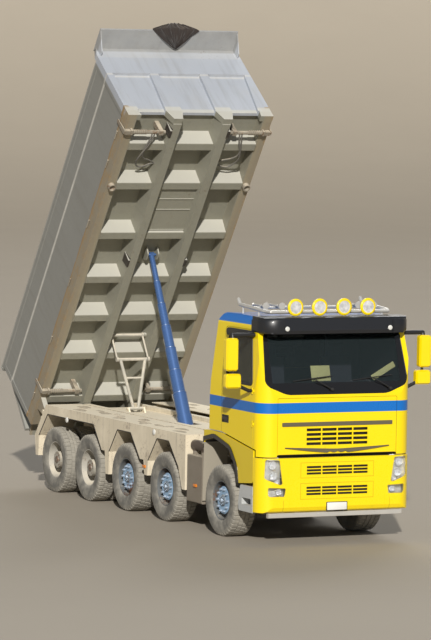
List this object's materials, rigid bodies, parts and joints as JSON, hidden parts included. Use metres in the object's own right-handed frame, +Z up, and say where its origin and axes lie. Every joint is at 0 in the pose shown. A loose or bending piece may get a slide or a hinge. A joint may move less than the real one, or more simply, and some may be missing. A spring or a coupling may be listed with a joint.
{
  "type": "dump truck",
  "caption": "Heavy tipper lorry with short cab, steered and driven axles, telescopic front hoist and a steel load bed raised for tipping.",
  "frame": {"origin": "on the ground, at the middle of the overall length and width with the bed raised", "axes": "+X forward, +Y to the driver's left, +Z up"},
  "size_m": [9.8574, 3.36, 7.4862],
  "materials": {
    "tyre_rubber": "dusty tread rubber",
    "front_rim": "steel-blue paint, worn",
    "rear_rim": "grey paint under dust",
    "axle_iron": "black paint under dust",
    "hoist_blue": "gloss blue paint",
    "glass": "tinted glass",
    "cab_yellow": "gloss yellow paint",
    "lamp_glass": "clear lamp glass",
    "black_plastic": "black moulded plastic",
    "bright_steel": "polished steel tube",
    "cabin_fabric": "dark cabin trim",
    "grey_plastic": "grey moulded plastic",
    "frame_paint": "dark frame paint under dust",
    "dusty_paint": "beige dust over grey paint",
    "bed_paint": "worn grey paint"
  },
  "bodies": {
    "chassis": {"black_trim": "black_plastic", "cab_fenders": "cab_yellow", "cab_interior": "cabin_fabric", "cab_shell": "cab_yellow", "chassis_frame": "frame_paint", "front_panels": "cab_yellow", "lamps": "lamp_glass", "mudguards": "dusty_paint", "running_gear": "axle_iron", "side_equipment": "grey_plastic", "steel_bars": "bright_steel", "subframe": "dusty_paint", "windscreen": "glass"},
    "door_left": {"door_left": "cab_yellow", "door_glass_left": "glass", "mirror_left": "cab_yellow"},
    "door_right": {"door_right": "cab_yellow", "door_glass_right": "glass", "mirror_right": "cab_yellow"},
    "knuckle_1_left": {"knuckle_1_left": "axle_iron"},
    "wheel_1_left": {"tyre_1_left": "tyre_rubber", "rim_1_left": "front_rim"},
    "knuckle_1_right": {"knuckle_1_right": "axle_iron"},
    "wheel_1_right": {"tyre_1_right": "tyre_rubber", "rim_1_right": "front_rim"},
    "knuckle_2_left": {"knuckle_2_left": "axle_iron"},
    "wheel_2_left": {"tyre_2_left": "tyre_rubber", "rim_2_left": "front_rim"},
    "knuckle_2_right": {"knuckle_2_right": "axle_iron"},
    "wheel_2_right": {"tyre_2_right": "tyre_rubber", "rim_2_right": "front_rim"},
    "knuckle_3_left": {"knuckle_3_left": "axle_iron"},
    "wheel_3_left": {"tyre_3_left": "tyre_rubber", "rim_3_left": "front_rim"},
    "knuckle_3_right": {"knuckle_3_right": "axle_iron"},
    "wheel_3_right": {"tyre_3_right": "tyre_rubber", "rim_3_right": "front_rim"},
    "wheel_4_left": {"tyre_4_left": "tyre_rubber", "rim_4_left": "rear_rim"},
    "wheel_4_right": {"tyre_4_right": "tyre_rubber", "rim_4_right": "rear_rim"},
    "wheel_5_left": {"tyre_5_left": "tyre_rubber", "rim_5_left": "rear_rim"},
    "wheel_5_right": {"tyre_5_right": "tyre_rubber", "rim_5_right": "rear_rim"},
    "bed": {"bed_fittings": "bed_paint", "bed_floor": "bed_paint", "bed_walls": "bed_paint"},
    "tailgate": {"tailgate": "bed_paint"},
    "stabiliser_low": {"stabiliser_low": "frame_paint"},
    "stabiliser_top": {"stabiliser_top": "frame_paint"},
    "hoist_tube": {"hoist_tube": "hoist_blue"},
    "hoist_stage_1": {"hoist_stage_1": "hoist_blue"},
    "hoist_stage_2": {"hoist_stage_2": "hoist_blue"},
    "hoist_stage_3": {"hoist_stage_3": "hoist_blue"},
    "hoist_stage_4": {"hoist_stage_4": "hoist_blue"},
    "hoist_stage_5": {"hoist_stage_5": "hoist_blue"},
    "hoist_stage_6": {"hoist_stage_6": "hoist_blue"},
    "hoist_stage_7": {"hoist_stage_7": "hoist_blue"}
  },
  "joints": [
    {"name": "door_left_hinge", "type": "hinge", "parent": "chassis", "child": "door_left", "pos_m": [4.64073, 1.255, 2], "axis": [0, 0, -1], "range_deg": [0, 70]},
    {"name": "door_right_hinge", "type": "hinge", "parent": "chassis", "child": "door_right", "pos_m": [4.64073, -1.255, 2], "axis": [0, 0, 1], "range_deg": [0, 70]},
    {"name": "steer_1_left", "type": "hinge", "parent": "chassis", "child": "knuckle_1_left", "pos_m": [3.55373, 0.93, 0.53], "axis": [0, 0, 1], "range_deg": [-38, 38]},
    {"name": "spin_1_left", "type": "hinge", "parent": "knuckle_1_left", "child": "wheel_1_left", "pos_m": [3.55373, 1.055, 0.53], "axis": [0, 1, 0], "continuous": true},
    {"name": "steer_1_right", "type": "hinge", "parent": "chassis", "child": "knuckle_1_right", "pos_m": [3.55373, -0.93, 0.53], "axis": [0, 0, 1], "range_deg": [-38.01, 38.01]},
    {"name": "spin_1_right", "type": "hinge", "parent": "knuckle_1_right", "child": "wheel_1_right", "pos_m": [3.55373, -1.055, 0.53], "axis": [0, 1, 0], "continuous": true},
    {"name": "steer_2_left", "type": "hinge", "parent": "chassis", "child": "knuckle_2_left", "pos_m": [1.57373, 0.93, 0.53], "axis": [0, 0, 1], "range_deg": [-24.44, 24.44]},
    {"name": "spin_2_left", "type": "hinge", "parent": "knuckle_2_left", "child": "wheel_2_left", "pos_m": [1.57373, 1.055, 0.53], "axis": [0, 1, 0], "continuous": true},
    {"name": "steer_2_right", "type": "hinge", "parent": "chassis", "child": "knuckle_2_right", "pos_m": [1.57373, -0.93, 0.53], "axis": [0, 0, 1], "range_deg": [-24.44, 24.44]},
    {"name": "spin_2_right", "type": "hinge", "parent": "knuckle_2_right", "child": "wheel_2_right", "pos_m": [1.57373, -1.055, 0.53], "axis": [0, 1, 0], "continuous": true},
    {"name": "steer_3_left", "type": "hinge", "parent": "chassis", "child": "knuckle_3_left", "pos_m": [0.12373, 0.93, 0.53], "axis": [0, 0, 1], "range_deg": [-14.53, 14.53]},
    {"name": "spin_3_left", "type": "hinge", "parent": "knuckle_3_left", "child": "wheel_3_left", "pos_m": [0.12373, 1.055, 0.53], "axis": [0, 1, 0], "continuous": true},
    {"name": "steer_3_right", "type": "hinge", "parent": "chassis", "child": "knuckle_3_right", "pos_m": [0.12373, -0.93, 0.53], "axis": [0, 0, 1], "range_deg": [-14.53, 14.53]},
    {"name": "spin_3_right", "type": "hinge", "parent": "knuckle_3_right", "child": "wheel_3_right", "pos_m": [0.12373, -1.055, 0.53], "axis": [0, 1, 0], "continuous": true},
    {"name": "spin_4_left", "type": "hinge", "parent": "chassis", "child": "wheel_4_left", "pos_m": [-1.32627, 0.92, 0.53], "axis": [0, 1, 0], "continuous": true},
    {"name": "spin_4_right", "type": "hinge", "parent": "chassis", "child": "wheel_4_right", "pos_m": [-1.32627, -0.92, 0.53], "axis": [0, 1, 0], "continuous": true},
    {"name": "spin_5_left", "type": "hinge", "parent": "chassis", "child": "wheel_5_left", "pos_m": [-2.66627, 0.92, 0.53], "axis": [0, 1, 0], "continuous": true},
    {"name": "spin_5_right", "type": "hinge", "parent": "chassis", "child": "wheel_5_right", "pos_m": [-2.66627, -0.92, 0.53], "axis": [0, 1, 0], "continuous": true},
    {"name": "bed_tip", "type": "hinge", "parent": "chassis", "child": "bed", "pos_m": [-3.19627, 0, 1.26], "axis": [0, 1, 0], "range_deg": [0, 53.9]},
    {"name": "tailgate_hinge", "type": "hinge", "parent": "bed", "child": "tailgate", "pos_m": [-4.87284, 0, 1.85633], "axis": [0, 1, 0], "range_deg": [-15, 45]},
    {"name": "hoist_lean", "type": "hinge", "parent": "chassis", "child": "hoist_tube", "pos_m": [-0.10127, 0, 0.9], "axis": [0, 1, 0], "range_deg": [0, 20.68]},
    {"name": "hoist_slide_1", "type": "slide", "parent": "hoist_tube", "child": "hoist_stage_1", "axis": [-0.475, 0, 0.88], "range_m": [-0.38362, 0]},
    {"name": "hoist_slide_2", "type": "slide", "parent": "hoist_stage_1", "child": "hoist_stage_2", "axis": [-0.475, 0, 0.88], "range_m": [-0.38362, 0]},
    {"name": "hoist_slide_3", "type": "slide", "parent": "hoist_stage_2", "child": "hoist_stage_3", "axis": [-0.475, 0, 0.88], "range_m": [-0.38362, 0]},
    {"name": "hoist_slide_4", "type": "slide", "parent": "hoist_stage_3", "child": "hoist_stage_4", "axis": [-0.475, 0, 0.88], "range_m": [-0.38362, 0]},
    {"name": "hoist_slide_5", "type": "slide", "parent": "hoist_stage_4", "child": "hoist_stage_5", "axis": [-0.475, 0, 0.88], "range_m": [-0.38362, 0]},
    {"name": "hoist_slide_6", "type": "slide", "parent": "hoist_stage_5", "child": "hoist_stage_6", "axis": [-0.475, 0, 0.88], "range_m": [-0.38362, 0]},
    {"name": "hoist_slide_7", "type": "slide", "parent": "hoist_stage_6", "child": "hoist_stage_7", "axis": [-0.475, 0, 0.88], "range_m": [-0.38362, 0]},
    {"name": "stabiliser_foot", "type": "hinge", "parent": "chassis", "child": "stabiliser_low", "pos_m": [-2.22627, 0, 1.37], "axis": [0, 1, 0], "range_deg": [0, 102.46]},
    {"name": "stabiliser_head", "type": "hinge", "parent": "bed", "child": "stabiliser_top", "pos_m": [-2.62252, 0, 2.53222], "axis": [0, 1, 0], "range_deg": [-84.47, 0]}
  ],
  "couplings": [
    {"joint": "steer_1_right", "follows": "steer_1_left", "ratio": 1},
    {"joint": "steer_2_left", "follows": "steer_1_left", "ratio": 0.643},
    {"joint": "steer_2_right", "follows": "steer_1_left", "ratio": 0.643},
    {"joint": "steer_3_left", "follows": "steer_1_left", "ratio": 0.382},
    {"joint": "steer_3_right", "follows": "steer_1_left", "ratio": 0.382},
    {"joint": "hoist_lean", "follows": "bed_tip", "ratio": 0.38266},
    {"joint": "hoist_slide_1", "follows": "bed_tip", "m_per_rad": -0.40673},
    {"joint": "hoist_slide_2", "follows": "bed_tip", "m_per_rad": -0.40673},
    {"joint": "hoist_slide_3", "follows": "bed_tip", "m_per_rad": -0.40673},
    {"joint": "hoist_slide_4", "follows": "bed_tip", "m_per_rad": -0.40673},
    {"joint": "hoist_slide_5", "follows": "bed_tip", "m_per_rad": -0.40673},
    {"joint": "hoist_slide_6", "follows": "bed_tip", "m_per_rad": -0.40673},
    {"joint": "hoist_slide_7", "follows": "bed_tip", "m_per_rad": -0.40673},
    {"joint": "stabiliser_foot", "follows": "bed_tip", "ratio": 1.9},
    {"joint": "stabiliser_head", "follows": "bed_tip", "ratio": -1.5662}
  ]
}
